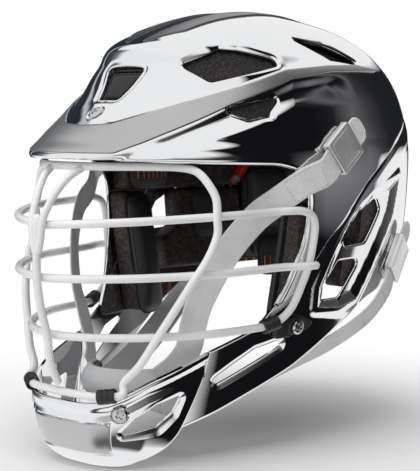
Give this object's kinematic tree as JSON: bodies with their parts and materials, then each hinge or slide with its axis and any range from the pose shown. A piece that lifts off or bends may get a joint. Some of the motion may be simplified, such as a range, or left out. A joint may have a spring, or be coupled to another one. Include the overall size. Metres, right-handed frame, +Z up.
{
  "type": "lacrosse helmet with face cage",
  "caption": "Vented hard shell helmet with a visor, bead foam liner, wire face cage, chin guard and chin cup on adjustable straps.",
  "frame": {"origin": "centre of the bounding box in plan, at the underside of the chin guard", "axes": "+Z up, the wearer faces -Y, +X is the wearer's left"},
  "size_m": [0.228, 0.336, 0.3021],
  "materials": {
    "shell": "mirror plated plastic",
    "trim": "satin",
    "plate": "satin",
    "plug": "matte",
    "screws": "satin",
    "studs": "satin",
    "cage": "gloss",
    "clips": "satin",
    "foam": "expanded bead foam",
    "pads": "matte",
    "fit_pads": "matte",
    "lever": "gloss",
    "buckles": "satin",
    "webbing": "woven",
    "cup": "satin",
    "cup_lining": "matte"
  },
  "bodies": {
    "helmet": {"crown_shell": "shell", "rear_shell": "shell", "visor_trim": "trim", "top_stripes": "trim", "front_plug": "plug", "visor_screw": "screws", "chin_guard": "shell", "chin_plate": "plate", "chin_screws": "screws", "cage_perimeter_wire": "cage", "cage_hoop_wire": "cage", "cage_middle_wire": "cage", "cage_centre_wires": "cage", "front_clip_left": "clips", "front_clip_right": "clips", "rear_clip_left": "clips", "rear_clip_right": "clips", "clip_screws": "screws", "front_liner": "foam", "rear_liner": "foam", "nape_liner": "foam", "side_liner_left": "foam", "side_liner_right": "foam", "ear_liner_left": "foam", "ear_liner_right": "foam", "jaw_liner_left": "foam", "jaw_liner_right": "foam", "brow_pad": "pads", "crown_pad_front": "pads", "crown_pad_rear": "pads", "temple_pad_left": "pads", "temple_pad_right": "pads", "cheek_pad_left": "pads", "cheek_pad_right": "pads", "ear_pad_left": "pads", "ear_pad_right": "pads", "nape_pad": "pads", "fit_pivots": "studs", "upper_studs": "studs", "lower_studs": "studs", "upper_strap_left": "webbing", "upper_strap_right": "webbing", "lower_strap_left": "webbing", "lower_strap_right": "webbing"},
    "fit_lever_left": {"fit_lever_left": "lever"},
    "fit_lever_right": {"fit_lever_right": "lever"},
    "fit_pad_left": {"fit_pad_left": "fit_pads"},
    "fit_pad_right": {"fit_pad_right": "fit_pads"},
    "lower_buckle_left": {"lower_buckle_left": "buckles"},
    "lower_buckle_right": {"lower_buckle_right": "buckles"},
    "upper_buckle_left": {"upper_buckle_left": "buckles"},
    "upper_buckle_right": {"upper_buckle_right": "buckles"},
    "chin_cup": {"chin_cup": "cup", "chin_cup_pad": "cup_lining"}
  },
  "joints": [
    {"name": "upper_buckle_slide_left", "type": "slide", "parent": "helmet", "child": "upper_buckle_left", "axis": [-0.1067, 0.829, 0.5489], "range_m": [0, 0.006]},
    {"name": "lower_buckle_slide_left", "type": "slide", "parent": "helmet", "child": "lower_buckle_left", "axis": [-0.0688, 0.5807, 0.8112], "range_m": [0, 0.006]},
    {"name": "fit_lever_turn_left", "type": "hinge", "parent": "helmet", "child": "fit_lever_left", "pos_m": [0.07196, 0.09631, 0.17611], "axis": [0.8988, 0.4384, 0], "range_deg": [0, 55]},
    {"name": "fit_pad_press_left", "type": "slide", "parent": "helmet", "child": "fit_pad_left", "axis": [-0.7887, -0.6148, 0], "range_m": [0, 0.004]},
    {"name": "upper_buckle_slide_right", "type": "slide", "parent": "helmet", "child": "upper_buckle_right", "axis": [0.1067, 0.829, 0.5489], "range_m": [0, 0.006]},
    {"name": "lower_buckle_slide_right", "type": "slide", "parent": "helmet", "child": "lower_buckle_right", "axis": [0.0688, 0.5807, 0.8112], "range_m": [0, 0.006]},
    {"name": "fit_lever_turn_right", "type": "hinge", "parent": "helmet", "child": "fit_lever_right", "pos_m": [-0.07196, 0.09631, 0.17611], "axis": [0.8988, -0.4384, 0], "range_deg": [0, 55]},
    {"name": "fit_pad_press_right", "type": "slide", "parent": "helmet", "child": "fit_pad_right", "axis": [0.7887, -0.6148, 0], "range_m": [0, 0.004]},
    {"name": "chin_cup_drop", "type": "slide", "parent": "helmet", "child": "chin_cup", "axis": [0, 0, -1], "range_m": [0, 0.01], "deforming": ["upper_strap_left", "upper_strap_right", "lower_strap_left", "lower_strap_right"]}
  ],
  "couplings": [
    {"joint": "fit_pad_press_left", "follows": "fit_lever_turn_left", "m_per_rad": 0.004167},
    {"joint": "fit_pad_press_right", "follows": "fit_lever_turn_right", "m_per_rad": 0.004167}
  ]
}
